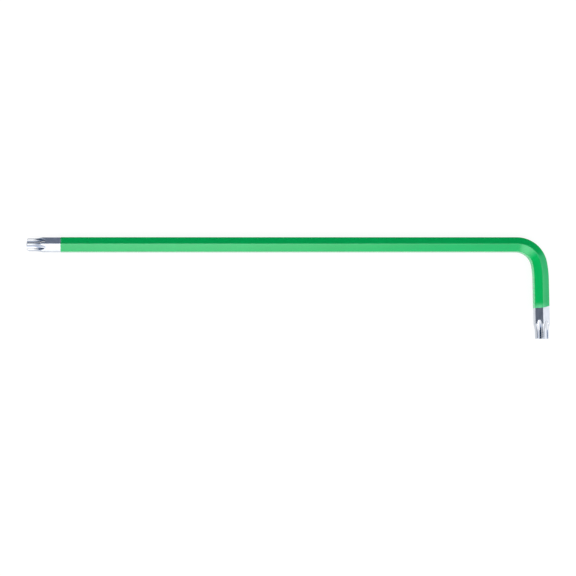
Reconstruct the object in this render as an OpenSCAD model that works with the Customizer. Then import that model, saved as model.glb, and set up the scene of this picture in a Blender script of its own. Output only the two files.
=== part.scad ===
// Star key: a hexagon bar of steel, bent to an L, with a six-lobed star tip formed
// in each end and a colour coating over the bar between the two tips.
// The key lies flat. +X runs along the long arm towards the bend, +Y runs from the
// short arm's tip towards the long arm, +Z is up, and the origin is at the bottom
// centre of the key's box.

/* [Arms] */
// Length of the long arm, from its tip to the outer flat of the short arm
long_arm_l = 146.3; // [80:0.1:240]
// Length of the short arm, from its tip to the outer flat of the long arm
short_arm_l = 28.5; // [24:0.1:60]
// Radius of the bend, at the middle of the bar
bend_r = 6.9; // [4:0.1:9]

/* [Bar] */
// Width of the bar across its flats
bar_af = 4; // [3.8:0.1:5]
// Rounding of the bar's six corners
bar_corner_r = 0.18; // [0.1:0.02:0.4]

/* [Star tips] */
// Diameter over the lobes of the star
star_major_d = 3.88; // [3.7:0.01:4.1]
// Diameter between opposite flutes of the star
star_minor_d = 2.8; // [2.6:0.01:3]
// Rounding over the top of each lobe
lobe_r = 0.305; // [0.25:0.005:0.36]
// Length over which the lobes keep the star's diameter, from the end of the tip
lobe_l = 1.6; // [1:0.1:3]
// Length over which the lobes then rise to the bar's corners
lobe_rise_l = 2.6; // [1:0.1:5]
// Length over which the flutes keep their full depth, from the end of the tip
flute_l = 1.7; // [1:0.1:3.5]
// Length over which the flutes then run out into the bar's flats
flute_rise_l = 3.6; // [1:0.1:5]
// Chamfer round the end of the tip
tip_chamfer = 0.2; // [0.1:0.05:0.4]

/* [Coating] */
// Thickness of the colour coating
coat_t = 0.05; // [0.03:0.01:0.2]
// Bare length at the long arm's tip
long_bare_l = 9.2; // [7:0.1:30]
// Bare length at the short arm's tip
short_bare_l = 8.6; // [7:0.1:14]

/* [Hidden] */
$fn = 96;

// Cuts run past the faces that they open by this much
overrun = 0.5;

// The six-sided section and its angles
sides = 6;
side_angle = 360 / sides;
half_angle = side_angle / 2;
corner_steps = 4;

// The rounded corner's middle, and how far the section reaches at its corners
corner_c = (bar_af / 2 - bar_corner_r) / cos(half_angle);
bar_reach = corner_c + bar_corner_r;
coat_reach = bar_reach + coat_t;

// The star's lobes and flutes: the flutes' radius makes them run smoothly into the lobes
major_r = star_major_d / 2;
minor_r = star_minor_d / 2;
lobe_c = major_r - lobe_r;
flute_r = (pow(minor_r, 2) + pow(lobe_c, 2) - pow(lobe_r, 2) - 2 * minor_r * lobe_c * cos(half_angle))
    / (2 * (lobe_r + lobe_c * cos(half_angle) - minor_r));
flute_c = minor_r + flute_r;

// The direction from a lobe's middle where its arc gives way to the flute's arc
join_share = lobe_r / (lobe_r + flute_r);
join_along = lobe_c + join_share * (flute_c * cos(half_angle) - lobe_c);
join_across = join_share * flute_c * sin(half_angle);
join_angle = atan2(join_across, join_along);

// The flare from the star to the bar: its facets, and where it clears the whole section
lobe_steps = 4;
flute_steps = 5;
flare_steps = 10;
flare_clear_share = 1.2;
flare_start = min(lobe_l, flute_l);
flare_end = max(lobe_l + flare_clear_share * lobe_rise_l, flute_l + flare_clear_share * flute_rise_l);
flare_l = flare_end - flare_start;
waste_r = coat_reach + overrun;

// Directions of the facets' edges, from one flute's middle over a lobe to the next flute's middle
half_lobe_turns = concat(
    [for (i = [0 : lobe_steps - 1]) i * join_angle / lobe_steps],
    [for (i = [0 : flute_steps]) join_angle + i * (half_angle - join_angle) / flute_steps]
);
last_turn = lobe_steps + flute_steps;
lobe_turns = concat(
    [for (i = [last_turn : -1 : 1]) -half_lobe_turns[i]],
    [for (i = [0 : last_turn - 1]) half_lobe_turns[i]]
);
star_facets = sides * len(lobe_turns);

// Places of the bar's middle line: the two arms, the bend between them and the two tips
long_axis_y = (short_arm_l - coat_t - bar_af) / 2;
short_axis_x = (long_arm_l - coat_t - bar_af) / 2;
axis_z = coat_reach;
bend_x = short_axis_x - bend_r;
bend_y = long_axis_y - bend_r;
long_tip_x = short_axis_x + bar_af / 2 - long_arm_l;
short_tip_y = long_axis_y + bar_af / 2 - short_arm_l;

// Points of the six-sided section, its flats grown outwards by a given thickness
function section_points(grown) = [
    for (corner = [0 : sides - 1], step = [0 : corner_steps])
        let (
            middle = half_angle + corner * side_angle,
            turn = middle - half_angle + step * side_angle / corner_steps
        )
        corner_c * [cos(middle), sin(middle)]
            + (bar_corner_r + grown) * [cos(turn), sin(turn)]
];

// Reach of an arc whose middle lies at a distance along a direction turned away by an angle
function outer_arc(c, r, turned) = c * cos(turned) + sqrt(pow(r, 2) - pow(c * sin(turned), 2));
function inner_arc(c, r, turned) = c * cos(turned) - sqrt(pow(r, 2) - pow(c * sin(turned), 2));

// Share of a rise at a height from the tip's end: level at first, then rising in a curve
function rise_share(h, level_l, rise_l) = pow(max(0, h - level_l) / rise_l, 2);

// Reach of the flute at an angle from a lobe's middle: its arc lifts outwards until it is clear
function flute_middle(h) = flute_c + (bar_af / 2 - minor_r) * rise_share(h, flute_l, flute_rise_l);
function flute_reach(turned, h) = flute_middle(h) * sin(half_angle - turned) < flute_r
    ? inner_arc(flute_middle(h), flute_r, half_angle - turned)
    : waste_r;

// Reach of the lobe at an angle from its middle: it rises outwards until it is clear
function lobe_reach(turned, h) = outer_arc(lobe_c, lobe_r, min(turned, join_angle))
    + (bar_reach - major_r) * rise_share(h, lobe_l, lobe_rise_l);
function flare_reach(turned, h) = min(flute_reach(turned, h), lobe_reach(turned, h));

// One ring of points round the flaring star, with its lobes at the bar's corners
function flare_ring(h) = [
    for (side = [0 : sides - 1], turn = lobe_turns)
        let (
            angle = half_angle + side * side_angle + turn,
            reach = flare_reach(abs(turn), h)
        )
        [reach * cos(angle), reach * sin(angle), h]
];

// The star as a solid that flares until it clears the bar, standing on the tip's end
module flaring_star() {
    heights = concat(
        [-2 * overrun],
        [for (i = [0 : flare_steps]) flare_start + i * flare_l / flare_steps],
        [flare_end + overrun]
    );
    last = len(heights) - 1;
    points = [for (h = heights) each flare_ring(h)];
    walls = [
        for (level = [0 : last - 1], i = [0 : star_facets - 1])
            let (
                next = (i + 1) % star_facets,
                low = level * star_facets,
                high = low + star_facets
            )
            each [[low + i, high + i, low + next], [low + next, high + i, high + next]]
    ];
    floor_face = [for (i = [0 : star_facets - 1]) i];
    roof_face = [for (i = [0 : star_facets - 1]) (last + 1) * star_facets - 1 - i];
    polyhedron(points, concat([floor_face], walls, [roof_face]));
}

// What is cut away from the end of the bar, standing on the tip's end
module tip_waste() {
    difference() {
        translate([0, 0, -overrun]) cylinder(h = flare_end + overrun, r = waste_r);
        flaring_star();
    }
    rotate_extrude() polygon([
        [major_r - tip_chamfer - overrun, -overrun],
        [waste_r, -overrun],
        [waste_r, waste_r - major_r + tip_chamfer]
    ]);
}

// A flat shape carried along the key's middle line, leaving a length free at each tip
module along_key(long_free_l, short_free_l) {
    translate([long_tip_x + long_free_l, long_axis_y, axis_z])
        rotate([90, 0, 90])
        linear_extrude(bend_x - long_tip_x - long_free_l)
        children();
    translate([bend_x, bend_y, axis_z])
        rotate_extrude(angle = 90)
        translate([bend_r, 0])
        children();
    translate([short_axis_x, bend_y, axis_z])
        rotate([90, 0, 0])
        linear_extrude(bend_y - short_tip_y - short_free_l)
        children();
}

// Steel bar with its bend and both star tips
module steel_key() {
    color([0.78, 0.79, 0.81])
    difference() {
        along_key(0, 0) polygon(section_points(0));
        translate([long_tip_x, long_axis_y, axis_z]) rotate([90, 0, 90]) tip_waste();
        translate([short_axis_x, short_tip_y, axis_z]) rotate([-90, 0, 0]) tip_waste();
    }
}

// Colour coating round the bar, from behind one tip to behind the other
module green_coating() {
    color([0.0, 0.65, 0.31])
    along_key(long_bare_l, short_bare_l)
    difference() {
        polygon(section_points(coat_t));
        polygon(section_points(0));
    }
}

steel_key();
green_coating();
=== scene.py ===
import math
import bpy
import numpy as np
from mathutils import Matrix, Vector


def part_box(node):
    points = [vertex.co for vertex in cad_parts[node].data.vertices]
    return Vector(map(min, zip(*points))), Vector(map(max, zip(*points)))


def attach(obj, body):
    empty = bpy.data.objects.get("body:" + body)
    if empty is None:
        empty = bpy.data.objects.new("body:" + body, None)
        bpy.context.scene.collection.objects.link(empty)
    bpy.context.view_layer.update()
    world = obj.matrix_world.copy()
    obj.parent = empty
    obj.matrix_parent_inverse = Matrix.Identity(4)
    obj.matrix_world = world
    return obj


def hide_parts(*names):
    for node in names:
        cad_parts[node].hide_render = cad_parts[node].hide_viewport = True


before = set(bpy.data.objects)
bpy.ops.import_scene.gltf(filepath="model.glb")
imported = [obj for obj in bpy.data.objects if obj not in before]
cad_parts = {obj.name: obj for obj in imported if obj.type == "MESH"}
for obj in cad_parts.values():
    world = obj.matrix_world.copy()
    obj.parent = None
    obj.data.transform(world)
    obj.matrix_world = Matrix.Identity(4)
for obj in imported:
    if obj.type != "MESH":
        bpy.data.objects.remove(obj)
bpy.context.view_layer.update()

# Sizes of the bar and its tips, in metres, as in the CAD model
BAR_AF = 0.004
BAR_CORNER_R = 0.00018
STAR_MAJOR_R = 0.00194
STAR_MINOR_R = 0.0014
LOBE_R = 0.000305
LOBE_L = 0.0016
LOBE_RISE_L = 0.0026
FLUTE_L = 0.0017
FLUTE_RISE_L = 0.0036
TIP_CHAMFER = 0.0002

# The section's sides and its angles
SIDES = 6
SIDE_ANGLE = math.radians(360 / SIDES)
HALF_ANGLE = SIDE_ANGLE / 2

# The bend's radius, and the wider radius and angle by which it eases into the short arm
BEND_R = 0.0064
EASE_R = 0.026
EASE_ANGLE = math.radians(10)

# Softness of the edges where the star meets the flats and the end's chamfer
FLARE_EDGE_R = 0.00005
CHAMFER_EDGE_R = 0.00004

# The coating's lip at its ends, its thinning at the corners and how far its inside lies under the bar's face
LIP_L = 0.00012
LIP_START_SHARE = 0.12
CORNER_THINNING_SHARE = 0.1
INNER_INSET = 0.000005

# The slant, bow and shift of the coating's two ends, and the length over which they fade
LONG_EDGE_SLANT = 0.2
SHORT_EDGE_SLANT = 0.146
SHORT_EDGE_BOW = 0.063
SHORT_EDGE_SHIFT = 0.0002
EDGE_FADE_L = 0.004

# Unevenness of these ends: size, phases, and for each wave its count, phase factor and share
EDGE_WAVE = 0.000015
LONG_EDGE_PHASE = 0.7
SHORT_EDGE_PHASE = 2.1
EDGE_WAVES = [(2, 1, 1.0), (5, 2, 0.6), (9, 3, 0.4)]

# Where the coating is paler: at both ends, on the short arm mostly on one side, and at its corners; this
# paleness is partly thinner coat and partly a painted highlight
THIN_AND_HIGHLIGHT_L = 0.0017
THIN_AND_HIGHLIGHT_MIDDLE = math.radians(120)
THIN_AND_HIGHLIGHT_AROUND_SHARE = 0.15
THIN_AND_HIGHLIGHT_FOCUS = 4
THIN_AND_HIGHLIGHT_LONG_SHARE = 0.25
CORNER_FADE = math.radians(3)

# How finely the pieces are divided
STEEL_STEPS = 20
COAT_STEPS = 16
CORNER_CROWDING = 1.6
TIP_L = 0.0064
TIP_RINGS = 92
TIP_CROWDING = 1.25
CAP_RING_SHARES = [0.12, 0.4, 0.7, 0.9]
LIP_RING_SHARES = [0, 0.08, 0.25, 0.5, 0.75, 1.0, 1.6, 3.0, 5.0, 8.0, 12.0, 15.0]
ARM_RING_GAP = 0.003
BEND_RINGS = 96
SHARP_ANGLE = math.radians(38)

# The materials measure along and across the bar in millimetres
MM_PER_M = 1000.0

# Places along the key, taken from the CAD model's boxes
steel_low, steel_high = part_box("steel_key")
coat_low, coat_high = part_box("green_coating")
LONG_TIP_X = steel_low.x
SHORT_TIP_Y = steel_low.y
LONG_AXIS_Y = steel_high.y - BAR_AF / 2
SHORT_AXIS_X = steel_high.x - BAR_AF / 2
AXIS_Z = (steel_low.z + steel_high.z) / 2
COAT_T = coat_high.x - steel_high.x
BEND_X = SHORT_AXIS_X - BEND_R * math.cos(EASE_ANGLE) - EASE_R * (1 - math.cos(EASE_ANGLE))
BEND_Y = LONG_AXIS_Y - BEND_R
EASE_Y = BEND_Y - (EASE_R - BEND_R) * math.sin(EASE_ANGLE)
BEND_ANGLE = math.pi / 2 - EASE_ANGLE
LONG_RUN = BEND_X - LONG_TIP_X
TIGHT_RUN = BEND_R * BEND_ANGLE
BEND_RUN = TIGHT_RUN + EASE_R * EASE_ANGLE
SHORT_RUN = EASE_Y - SHORT_TIP_Y
WHOLE_RUN = LONG_RUN + BEND_RUN + SHORT_RUN
LONG_EDGE_RUN = coat_low.x - LONG_TIP_X
SHORT_EDGE_RUN = WHOLE_RUN - (coat_low.y - SHORT_TIP_Y)

# The star's lobes and flutes, and the reach at which a flute is clear of the bar
CORNER_C = (BAR_AF / 2 - BAR_CORNER_R) / math.cos(HALF_ANGLE)
BAR_REACH = CORNER_C + BAR_CORNER_R
LOBE_C = STAR_MAJOR_R - LOBE_R
LOBE_C_ALONG = LOBE_C * math.cos(HALF_ANGLE)
FLUTE_R = (
    (STAR_MINOR_R**2 + LOBE_C**2 - LOBE_R**2 - 2 * STAR_MINOR_R * LOBE_C_ALONG)
    / (2 * (LOBE_R + LOBE_C_ALONG - STAR_MINOR_R))
)
FLUTE_C = STAR_MINOR_R + FLUTE_R
FLUTE_DEPTH = BAR_AF / 2 - STAR_MINOR_R
CLEAR_SHARE = 1.2
CLEAR_R = BAR_REACH * CLEAR_SHARE
JOIN_SHARE = LOBE_R / (LOBE_R + FLUTE_R)
JOIN_ANGLE = math.atan2(
    JOIN_SHARE * FLUTE_C * math.sin(HALF_ANGLE),
    LOBE_C + JOIN_SHARE * (FLUTE_C * math.cos(HALF_ANGLE) - LOBE_C),
)


# Shape of the section
def section_angles(steps):
    half = HALF_ANGLE * np.linspace(0, 1, steps + 1) ** CORNER_CROWDING
    sector = np.concatenate([-half[:0:-1], half[:-1]]) + HALF_ANGLE
    return np.concatenate([sector + side * SIDE_ANGLE for side in range(SIDES)])


def from_corner(angles):
    return np.abs(np.mod(angles, SIDE_ANGLE) - HALF_ANGLE)


def outer_arc(middle, radius, turned):
    inside = np.maximum(radius**2 - (middle * np.sin(turned)) ** 2, 0)
    return middle * np.cos(turned) + np.sqrt(inside)


def bar_reach(turned, grown):
    corner_r = BAR_CORNER_R + grown
    corner_end = np.arctan2(
        corner_r * math.sin(HALF_ANGLE), CORNER_C + corner_r * math.cos(HALF_ANGLE)
    )
    flat = (BAR_AF / 2 + grown) / np.cos(HALF_ANGLE - turned)
    return np.where(turned < corner_end, outer_arc(CORNER_C, corner_r, turned), flat)


# Shape of the star tips at a height from the end
def rise_share(height, level_l, rise_l):
    return (np.maximum(height - level_l, 0) / rise_l) ** 2


def flute_reach(turned, height):
    middle = FLUTE_C + FLUTE_DEPTH * rise_share(height, FLUTE_L, FLUTE_RISE_L)
    inside = FLUTE_R**2 - (middle * np.sin(HALF_ANGLE - turned)) ** 2
    reach = middle * np.cos(HALF_ANGLE - turned) - np.sqrt(np.maximum(inside, 0))
    return np.where(inside > 0, reach, CLEAR_R)


def lobe_reach(turned, height):
    rise = (BAR_REACH - STAR_MAJOR_R) * rise_share(height, LOBE_L, LOBE_RISE_L)
    return outer_arc(LOBE_C, LOBE_R, np.minimum(turned, JOIN_ANGLE)) + rise


def soft_min(a, b, softness):
    share = np.clip(0.5 + 0.5 * (b - a) / softness, 0, 1)
    return b * (1 - share) + a * share - softness * share * (1 - share)


def tip_reach(turned, height):
    body = soft_min(bar_reach(turned, 0), flute_reach(turned, height), FLARE_EDGE_R)
    body = soft_min(body, lobe_reach(turned, height), FLARE_EDGE_R)
    cone = STAR_MAJOR_R - TIP_CHAMFER + height
    return soft_min(body, cone, CHAMFER_EDGE_R)


# Points on the key: a distance along its middle line, across it outwards, and up
def on_key(run, across, up):
    tight = np.clip((run - LONG_RUN) / BEND_R, 0, BEND_ANGLE)
    turn = tight + np.clip((run - LONG_RUN - TIGHT_RUN) / EASE_R, 0, EASE_ANGLE)
    x = BEND_X + BEND_R * np.sin(tight) + EASE_R * (np.sin(turn) - np.sin(tight))
    y = BEND_Y + BEND_R * np.cos(tight) + EASE_R * (np.cos(turn) - np.cos(tight))
    x += across * np.sin(turn) + np.minimum(run - LONG_RUN, 0)
    y += across * np.cos(turn) - np.maximum(run - LONG_RUN - BEND_RUN, 0)
    return np.stack([x, y, AXIS_Z + up], axis=-1)


# Rings along the key and the faces between them
def arm_runs(start, end):
    count = max(2, int(round((end - start) / ARM_RING_GAP)))
    return np.linspace(start, end, count + 1)[1:-1]


def middle_runs(start, end):
    bend = LONG_RUN + BEND_RUN * np.linspace(0, 1, BEND_RINGS + 1)
    return np.concatenate([arm_runs(start, LONG_RUN), bend, arm_runs(LONG_RUN + BEND_RUN, end)])


def ring_quads(first, second, count):
    here = np.arange(count)
    after = (here + 1) % count
    low = first * count
    high = second * count
    return np.stack([low + here, low + after, high + after, high + here], axis=1).tolist()


def tube_faces(rings, count, closed):
    steps = rings if closed else rings - 1
    return [quad for i in range(steps) for quad in ring_quads(i, (i + 1) % rings, count)]


def make_piece(name, run, across, up, faces, extras):
    mesh = bpy.data.meshes.new(name)
    mesh.from_pydata(on_key(run, across, up).tolist(), [], faces)
    mesh.update()
    mesh.shade_smooth()
    mesh.set_sharp_from_angle(angle=SHARP_ANGLE)
    straight = np.stack([across, up, run], axis=-1) * MM_PER_M
    bar = mesh.attributes.new("bar", "FLOAT_VECTOR", "POINT")
    bar.data.foreach_set("vector", straight.astype(np.float32).ravel())
    for key, values in extras.items():
        extra = mesh.attributes.new(key, "FLOAT", "POINT")
        extra.data.foreach_set("value", values.astype(np.float32).ravel())
    piece = bpy.data.objects.new(name, mesh)
    bpy.context.scene.collection.objects.link(piece)
    return piece


# Steel bar with both star tips, each closed by smaller rings and a fan round its middle point
def steel_rings():
    tip = TIP_L * np.linspace(0, 1, TIP_RINGS + 1) ** TIP_CROWDING
    return np.concatenate([tip, middle_runs(TIP_L, WHOLE_RUN - TIP_L), WHOLE_RUN - tip[::-1]])


def from_tip(run):
    return np.minimum(run, WHOLE_RUN - run)


def capped(reach, run):
    shrink = np.array(CAP_RING_SHARES)[:, None]
    reach = np.concatenate([reach[:1] * shrink, reach, reach[-1:] * shrink[::-1]])
    start = np.zeros_like(shrink)
    run = np.concatenate([start, run, start + WHOLE_RUN])
    return reach, np.broadcast_to(run, reach.shape)


def end_fans(rings, count):
    middle = rings * count
    last = (rings - 1) * count
    fans = []
    for here in range(count):
        after = (here + 1) % count
        fans.append([middle, after, here])
        fans.append([middle + 1, last + here, last + after])
    return fans


def make_steel():
    angles = section_angles(STEEL_STEPS)
    count = len(angles)
    turned = from_corner(angles)[None, :]
    run = steel_rings()[:, None]
    reach, run = capped(tip_reach(turned, from_tip(run)), run)
    rings = len(reach)
    faces = tube_faces(rings, count, False) + end_fans(rings, count)
    sunk = np.clip((bar_reach(turned, 0) - reach) / FLUTE_DEPTH, 0, 1)
    across = np.append(reach * np.cos(angles), [0, 0])
    up = np.append(reach * np.sin(angles), [0, 0])
    run = np.append(run, [0, WHOLE_RUN])
    extras = {
        "sunk": np.append(sunk, [0, 0]),
        "star": np.clip((TIP_L - from_tip(run)) / TIP_L, 0, 1),
    }
    return make_piece("steel_bar", run, across, up, faces, extras)


# Coating round the bar, with a soft lip and an uneven slant at each end
def coat_rings():
    near = np.array(LIP_RING_SHARES) * LIP_L
    middle = middle_runs(LONG_EDGE_RUN + near[-1], SHORT_EDGE_RUN - near[-1])
    return np.concatenate([LONG_EDGE_RUN + near, middle, SHORT_EDGE_RUN - near[::-1]])


def edge_wave(angles, phase):
    return EDGE_WAVE * sum(
        share * np.sin(waves * angles + times * phase) for waves, times, share in EDGE_WAVES
    )


def shifted_runs(angles, run, from_long, from_short):
    plain = bar_reach(from_corner(angles), COAT_T)
    long_shift = LONG_EDGE_SLANT * plain * np.sin(angles) + edge_wave(angles, LONG_EDGE_PHASE)
    short_curve = SHORT_EDGE_SLANT * np.cos(angles) + SHORT_EDGE_BOW * np.cos(2 * angles)
    short_shift = SHORT_EDGE_SHIFT + short_curve * plain + edge_wave(angles, SHORT_EDGE_PHASE)
    return (
        run
        + long_shift * np.clip(1 - from_long / EDGE_FADE_L, 0, 1)
        - short_shift * np.clip(1 - from_short / EDGE_FADE_L, 0, 1)
    )


def coat_thickness(turned, from_edge):
    lip = np.sqrt(1 - (1 - np.clip(from_edge / LIP_L, 0, 1)) ** 2)
    to_corner = np.tan(HALF_ANGLE - turned) / math.tan(HALF_ANGLE)
    crown = 1 - CORNER_THINNING_SHARE * to_corner**2
    return COAT_T * (LIP_START_SHARE + (1 - LIP_START_SHARE) * lip) * crown


# Paler near both ends and mostly on one side of the short arm: partly thinner coat, partly a painted
# highlight on the lip
def coat_thinness_and_highlight(angles, from_long, from_short):
    facing = np.clip(np.cos(angles - THIN_AND_HIGHLIGHT_MIDDLE), 0, 1) ** THIN_AND_HIGHLIGHT_FOCUS
    side = THIN_AND_HIGHLIGHT_AROUND_SHARE + (1 - THIN_AND_HIGHLIGHT_AROUND_SHARE) * facing
    near_end = 1 - np.clip(from_short / THIN_AND_HIGHLIGHT_L, 0, 1)
    return near_end**2 * (3 - 2 * near_end) * side + THIN_AND_HIGHLIGHT_LONG_SHARE * np.exp(-from_long / LIP_L)


def out_and_back(outside, inside):
    return np.concatenate([outside, inside[::-1]])


def make_coating():
    angles = section_angles(COAT_STEPS)
    turned = from_corner(angles)[None, :]
    run = coat_rings()[:, None]
    from_long = run - LONG_EDGE_RUN
    from_short = SHORT_EDGE_RUN - run
    run = shifted_runs(angles, run, from_long, from_short)
    outer = bar_reach(turned, coat_thickness(turned, np.minimum(from_long, from_short)))
    inner = np.broadcast_to(bar_reach(turned, -INNER_INSET), outer.shape)
    # Paleness near the ends: partly thinner coat, partly a painted highlight
    thin_coat_and_highlight = coat_thinness_and_highlight(angles, from_long, from_short)
    # Mask for the pale line along the corners: partly thinner coat, partly a painted highlight
    corner = np.broadcast_to(np.exp(-turned / CORNER_FADE), outer.shape)
    reach = out_and_back(outer, inner)
    run = out_and_back(run, run).ravel()
    across = (reach * np.cos(angles)).ravel()
    up = (reach * np.sin(angles)).ravel()
    faces = tube_faces(len(reach), len(angles), True)
    extras = {"thin_coat_and_highlight": out_and_back(thin_coat_and_highlight, thin_coat_and_highlight), "corner": out_and_back(corner, corner)}
    return make_piece("coating_shell", run, across, up, faces, extras)


# Mix node's sockets for each kind of value: its share, its first and second value, and the result
MIX_SOCKETS = {"FLOAT": (0, 2, 3, 0), "RGBA": (0, 6, 7, 2)}


# Small helpers for shader nodes
class Shader:
    def __init__(self, tree):
        self.tree = tree
        tree.nodes.clear()

    def add(self, kind, settings=None, **inputs):
        node = self.tree.nodes.new(kind)
        for key, value in (settings or {}).items():
            setattr(node, key, value)
        for key, value in inputs.items():
            self.put(node.inputs[key.replace("_", " ")], value)
        return node

    def put(self, socket, value):
        if isinstance(value, bpy.types.NodeSocket):
            self.tree.links.new(value, socket)
        else:
            socket.default_value = value

    def fill(self, node, values):
        for socket, value in zip(node.inputs, values):
            self.put(socket, value)
        return node.outputs[0]

    def math(self, operation, *values):
        return self.fill(self.add("ShaderNodeMath", {"operation": operation}), values)

    def ranged(self, value, low, high, to_low, to_high):
        return self.fill(self.add("ShaderNodeMapRange"), (value, low, high, to_low, to_high))

    def weighted(self, first, share, second):
        return self.math("MULTIPLY_ADD", first, share, self.math("MULTIPLY", second, 1 - share))

    def attribute(self, name, output):
        node = self.add("ShaderNodeAttribute", {"attribute_name": name})
        return node.outputs[output]

    def noise(self, place, scale, detail):
        node = self.add("ShaderNodeTexNoise", Vector=place, Scale=scale, Detail=detail)
        return node.outputs["Fac"]

    def stretched(self, place, scale):
        node = self.add("ShaderNodeMapping", Vector=place, Scale=scale)
        return node.outputs["Vector"]

    def blend(self, share, first, second, kind="RGBA"):
        node = self.add("ShaderNodeMix", {"data_type": kind})
        share_at, first_at, second_at, result_at = MIX_SOCKETS[kind]
        self.put(node.inputs[share_at], share)
        self.put(node.inputs[first_at], first)
        self.put(node.inputs[second_at], second)
        return node.outputs[result_at]

    def bump(self, height, strength, distance, normal=None):
        node = self.add("ShaderNodeBump", Strength=strength, Distance=distance, Height=height)
        if normal is not None:
            self.put(node.inputs["Normal"], normal)
        return node.outputs[0]


def new_material(name):
    material = bpy.data.materials.new(name)
    material.use_nodes = True
    return material, Shader(material.node_tree)


# Spans over which noise is read, so that its middle values fill the whole of a range
NOISE_CORE = (0.35, 0.65)
NOISE_SPAN = (0.3, 0.7)

# Glossy green coating: colours, reflections, noises by scale and detail, bumps by strength and height
GREEN_LOW = (0.0, 0.445, 0.094, 1.0)
GREEN_HIGH = (0.0, 0.475, 0.104, 1.0)
# Pale green for thinner coat, also laid on as a painted highlight at the ends and corners
GREEN_THIN_AND_HIGHLIGHT = (0.17, 0.7, 0.36, 1.0)
GREEN_SHEEN = (0.75, 1.0, 1.0, 1.0)
GREEN_IOR = 1.7
GREEN_ROUGHNESS = (0.09, 0.13)
GREEN_CLOUD = (0.14, 3.0)
PEEL = (1.3, 2.0)
SPECK = (11.0, 2.0)
SPECK_SHARE = 0.35
PATCH_SHARES = (0.8, 1.0)
# Share of the pale line along the corners: partly thinner coat, partly a painted highlight
CORNER_THIN_AND_HIGHLIGHT_SHARE = 0.05
SPECK_BUMP = (0.2, 0.000001)
PEEL_BUMP = (0.4, 0.000004)


# Slight orange peel, and paler where the coating thins out; this paleness is partly a painted highlight at
# the ends and corners
def coating_material():
    material, shader = new_material("green_gloss")
    place = shader.attribute("bar", "Vector")
    thin_coat_and_highlight = shader.attribute("thin_coat_and_highlight", "Fac")
    corner = shader.attribute("corner", "Fac")
    cloud = shader.noise(place, *GREEN_CLOUD)
    peel = shader.noise(place, *PEEL)
    speck = shader.noise(place, *SPECK)
    tone = shader.weighted(speck, SPECK_SHARE, cloud)
    body = shader.blend(shader.ranged(tone, *NOISE_CORE, 0.0, 1.0), GREEN_LOW, GREEN_HIGH)
    # Pale patches near the ends and a pale line along the corners: partly thinner coat, partly painted
    # highlight
    patchy_thin_and_highlight = shader.math("MULTIPLY", thin_coat_and_highlight, shader.ranged(peel, *NOISE_SPAN, *PATCH_SHARES))
    pale = shader.math("MAXIMUM", patchy_thin_and_highlight, shader.math("MULTIPLY", corner, CORNER_THIN_AND_HIGHLIGHT_SHARE))
    surface = shader.add(
        "ShaderNodeBsdfPrincipled",
        Base_Color=shader.blend(pale, body, GREEN_THIN_AND_HIGHLIGHT),
        Roughness=shader.ranged(peel, *NOISE_SPAN, *GREEN_ROUGHNESS),
        IOR=GREEN_IOR,
        Specular_Tint=GREEN_SHEEN,
        Normal=shader.bump(peel, *PEEL_BUMP, shader.bump(speck, *SPECK_BUMP)),
    )
    shader.add("ShaderNodeOutputMaterial", Surface=surface.outputs[0])
    return material


# Bright plated steel: colours, roughness, noises by scale and detail, bumps by strength and height
STEEL_LOW = (0.605, 0.61, 0.62, 1.0)
STEEL_HIGH = (0.7, 0.705, 0.715, 1.0)
# Dark blue-grey laid into the flutes by their depth: painted shade
STEEL_FLUTE_SHADE = (0.24, 0.29, 0.38, 1.0)
STEEL_ROUGHNESS = (0.28, 0.34)
STEEL_CLOUD = (0.9, 3.0)
LINES_STRETCH = (7.0, 7.0, 0.3)
LINES = (1.0, 4.0)
LINES_SHARE = 0.6
MARKS_STRETCH = (0.8, 0.8, 9.0)
MARKS = (1.0, 2.0)
FLUTE_SHADE_SHARES = (0.05, 0.2)
FLUTE_SPAN = (0.0, 0.4)
FLUTE_ROUGHNESS_SHARES = (1.0, 0.35)
LINES_BUMP = (0.4, 0.000003)
MARKS_BUMP = (0.35, 0.000004)


# Fine drawn lines along the bar, cutting marks across the star, and painted shade, darker and bluer, in its
# smoother flutes
def steel_material():
    material, shader = new_material("bright_plate")
    place = shader.attribute("bar", "Vector")
    sunk = shader.attribute("sunk", "Fac")
    star = shader.attribute("star", "Fac")
    lines = shader.noise(shader.stretched(place, LINES_STRETCH), *LINES)
    marks = shader.noise(shader.stretched(place, MARKS_STRETCH), *MARKS)
    cloud = shader.noise(place, *STEEL_CLOUD)
    tone = shader.weighted(lines, LINES_SHARE, cloud)
    body = shader.blend(shader.ranged(tone, *NOISE_CORE, 0.0, 1.0), STEEL_LOW, STEEL_HIGH)
    # Painted shade in the flutes, stronger where they sink deeper, with a cloudy share
    flute_shade = shader.math("MULTIPLY", sunk, shader.ranged(cloud, *NOISE_SPAN, *FLUTE_SHADE_SHARES))
    haze = shader.ranged(tone, *NOISE_SPAN, *STEEL_ROUGHNESS)
    smoothing = shader.ranged(sunk, *FLUTE_SPAN, *FLUTE_ROUGHNESS_SHARES)
    cuts = shader.math("MULTIPLY", marks, star)
    surface = shader.add(
        "ShaderNodeBsdfPrincipled",
        Base_Color=shader.blend(flute_shade, body, STEEL_FLUTE_SHADE),
        Metallic=1.0,
        Roughness=shader.math("MULTIPLY", haze, smoothing),
        Normal=shader.bump(cuts, *MARKS_BUMP, shader.bump(lines, *LINES_BUMP)),
    )
    shader.add("ShaderNodeOutputMaterial", Surface=surface.outputs[0])
    return material


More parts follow.
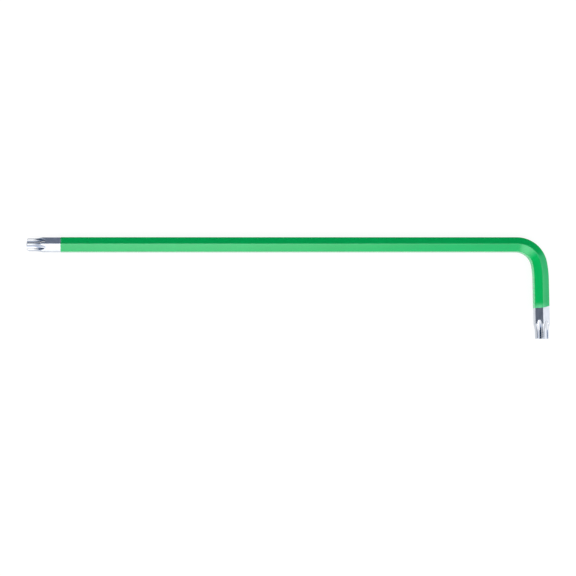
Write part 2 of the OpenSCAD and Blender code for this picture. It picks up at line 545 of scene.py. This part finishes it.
# White studio: zones of light and dark by azimuth and elevation, inner and outer radius, and amount
KEY = ([(258.0, 53.0)], 2.0, 24.0, 2.2)
RIGHT = ([(5.0, 31.0)], 8.0, 17.0, 1.4)
RIGHT_LOW = ([(344.0, 12.0), (338.0, 36.0)], 8.0, 20.0, 0.45)
LEFT_LOW = ([(206.0, 15.0), (221.0, 26.0)], 5.0, 13.0, 0.9)
ABOVE = ([(270.0, 80.0), (140.0, 72.0)], 16.0, 32.0, 0.65)
BACK_POINTS = [(48.0, 10.0), (70.0, 10.0), (92.0, 10.0), (114.0, 10.0), (135.0, 10.0), (134.0, 16.0)]
BACK_DARK = (BACK_POINTS, 15.0, 25.0, 0.95)
LEFT_DARK = ([(160.0, 46.0), (178.0, 46.0), (177.0, 30.0), (177.0, 16.0)], 12.0, 17.0, 0.92)
BEND_DARK = ([(189.0, 44.5), (197.0, 44.5), (205.0, 44.5), (212.5, 44.5)], 2.5, 6.5, 0.96)
STREAK_DARK = ([(174.0, 65.5)], 7.5, 9.5, 0.96)
TOP_DARK = ([(55.0, 85.0)], 5.0, 11.0, 0.8)
SHADE = ([(110.0, 27.0)], 30.0, 72.0, 1.0)
FILL = ([(186.0, 6.0)], 0.0, 34.0, 3.6)

# Levels of the studio in reflections, for spread light and as the camera sees it
MIRRORED_LEVEL = 0.8
SPREAD_LEVEL = 1.2
SEEN_LEVEL = 1.0

# Reflections of the studio are white where it is light, and cooler below this level
WHITE = (1.0, 1.0, 1.0, 1.0)
COOL = (0.56, 0.94, 1.75, 1.0)
COOL_BELOW = 1.3


def towards(azimuth, elevation):
    az = math.radians(azimuth)
    el = math.radians(elevation)
    return Vector((math.cos(el) * math.cos(az), math.cos(el) * math.sin(az), math.sin(el)))


def zone(shader, direction, points, core, edge):
    core_dot = math.cos(math.radians(core))
    edge_dot = math.cos(math.radians(edge))
    reached = 0.0
    for azimuth, elevation in points:
        dot = shader.add("ShaderNodeVectorMath", {"operation": "DOT_PRODUCT"})
        shader.fill(dot, (direction, towards(azimuth, elevation)))
        fall = shader.ranged(dot.outputs["Value"], edge_dot, core_dot, 0.0, 1.0)
        fall.node.interpolation_type = "SMOOTHSTEP"
        reached = shader.math("MAXIMUM", reached, fall)
    return reached


def raised(shader, light, direction, points, core, edge, amount):
    return shader.math("MULTIPLY_ADD", zone(shader, direction, points, core, edge), amount, light)


def dimmed(shader, light, direction, points, core, edge, amount):
    left = shader.math("MULTIPLY_ADD", zone(shader, direction, points, core, edge), -amount, 1.0)
    return shader.math("MULTIPLY", light, left)


def make_world():
    world = bpy.data.worlds.new("studio")
    bpy.context.scene.world = world
    world.use_nodes = True
    shader = Shader(world.node_tree)
    direction = shader.add("ShaderNodeTexCoord").outputs["Generated"]
    path = shader.add("ShaderNodeLightPath").outputs
    mirrored = MIRRORED_LEVEL
    for light_zone in (KEY, RIGHT, RIGHT_LOW, LEFT_LOW, ABOVE):
        mirrored = raised(shader, mirrored, direction, *light_zone)
    for dark_zone in (BACK_DARK, LEFT_DARK, BEND_DARK, STREAK_DARK, TOP_DARK):
        mirrored = dimmed(shader, mirrored, direction, *dark_zone)
    spread = dimmed(shader, SPREAD_LEVEL, direction, *SHADE)
    spread = raised(shader, spread, direction, *FILL)
    light = shader.blend(path["Is Diffuse Ray"], mirrored, spread, "FLOAT")
    strength = shader.blend(path["Is Camera Ray"], light, SEEN_LEVEL, "FLOAT")
    dark = shader.ranged(mirrored, 0.0, COOL_BELOW, 1.0, 0.0)
    tint = shader.blend(shader.math("MULTIPLY", dark, path["Is Glossy Ray"]), WHITE, COOL)
    background = shader.add("ShaderNodeBackground", Color=tint, Strength=strength)
    shader.add("ShaderNodeOutputWorld", Surface=background.outputs[0])


# White floor: plain for spread light, lifted for the camera, and lifted and cooler in reflections
FLOOR_HALF = 2.0
FLOOR_PLAIN = (0.8, 0.8, 0.8, 1.0)
FLOOR_LIFTED = (0.2, 0.2, 0.2, 1.0)
FLOOR_LIFT = 0.86
FLOOR_COOL = (0.95, 0.99, 1.06, 1.0)


def floor_material():
    material, shader = new_material("white_floor")
    path = shader.add("ShaderNodeLightPath").outputs
    mirrored = shader.math("ADD", path["Is Glossy Ray"], path["Is Transmission Ray"])
    seen = shader.math("ADD", mirrored, path["Is Camera Ray"])
    plain = shader.add("ShaderNodeBsdfDiffuse", Color=FLOOR_PLAIN)
    pale = shader.add("ShaderNodeBsdfDiffuse", Color=FLOOR_LIFTED)
    white = shader.blend(path["Is Camera Ray"], FLOOR_COOL, WHITE)
    lift = shader.add("ShaderNodeEmission", Color=white, Strength=FLOOR_LIFT)
    lifted = shader.fill(shader.add("ShaderNodeAddShader"), (pale.outputs[0], lift.outputs[0]))
    surface = shader.fill(shader.add("ShaderNodeMixShader"), (seen, plain.outputs[0], lifted))
    shader.add("ShaderNodeOutputMaterial", Surface=surface)
    return material


def make_floor():
    corners = [
        (-FLOOR_HALF, -FLOOR_HALF, 0),
        (FLOOR_HALF, -FLOOR_HALF, 0),
        (FLOOR_HALF, FLOOR_HALF, 0),
        (-FLOOR_HALF, FLOOR_HALF, 0),
    ]
    mesh = bpy.data.meshes.new("floor")
    mesh.from_pydata(corners, [], [(0, 1, 2, 3)])
    mesh.materials.append(floor_material())
    floor = bpy.data.objects.new("floor", mesh)
    bpy.context.scene.collection.objects.link(floor)


# Camera, as fitted to the photograph
CAMERA_PLACE = Vector((-0.00101, -0.02441, 0.28212))
CAMERA_LOOK = Vector((0.0038, 0.087, -0.9962))
CAMERA_UP = Vector((0.0, 1.0, 0.0))
CAMERA_ROLL = -0.0004
CAMERA_LENS = 62.5
CAMERA_SENSOR = 36.0
CAMERA_NEAR = 0.01


def make_camera():
    data = bpy.data.cameras.new("camera")
    data.sensor_fit = "HORIZONTAL"
    data.sensor_width = CAMERA_SENSOR
    data.lens = CAMERA_LENS
    data.clip_start = CAMERA_NEAR
    data.dof.use_dof = False
    back = -CAMERA_LOOK.normalized()
    right = CAMERA_UP.cross(back).normalized()
    above = back.cross(right)
    turn = Matrix((right, above, back)).transposed() @ Matrix.Rotation(CAMERA_ROLL, 3, "Z")
    camera = bpy.data.objects.new("camera", data)
    camera.matrix_world = Matrix.Translation(CAMERA_PLACE) @ turn.to_4x4()
    bpy.context.scene.collection.objects.link(camera)
    bpy.context.scene.camera = camera


# The pieces, each standing for its solid in the CAD model
steel = make_steel()
steel.data.materials.append(steel_material())
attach(steel, "root")
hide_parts("steel_key")

coating = make_coating()
coating.data.materials.append(coating_material())
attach(coating, "root")
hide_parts("green_coating")

# The stage round them
make_floor()
make_world()
make_camera()
bpy.context.scene.view_settings.view_transform = "Standard"
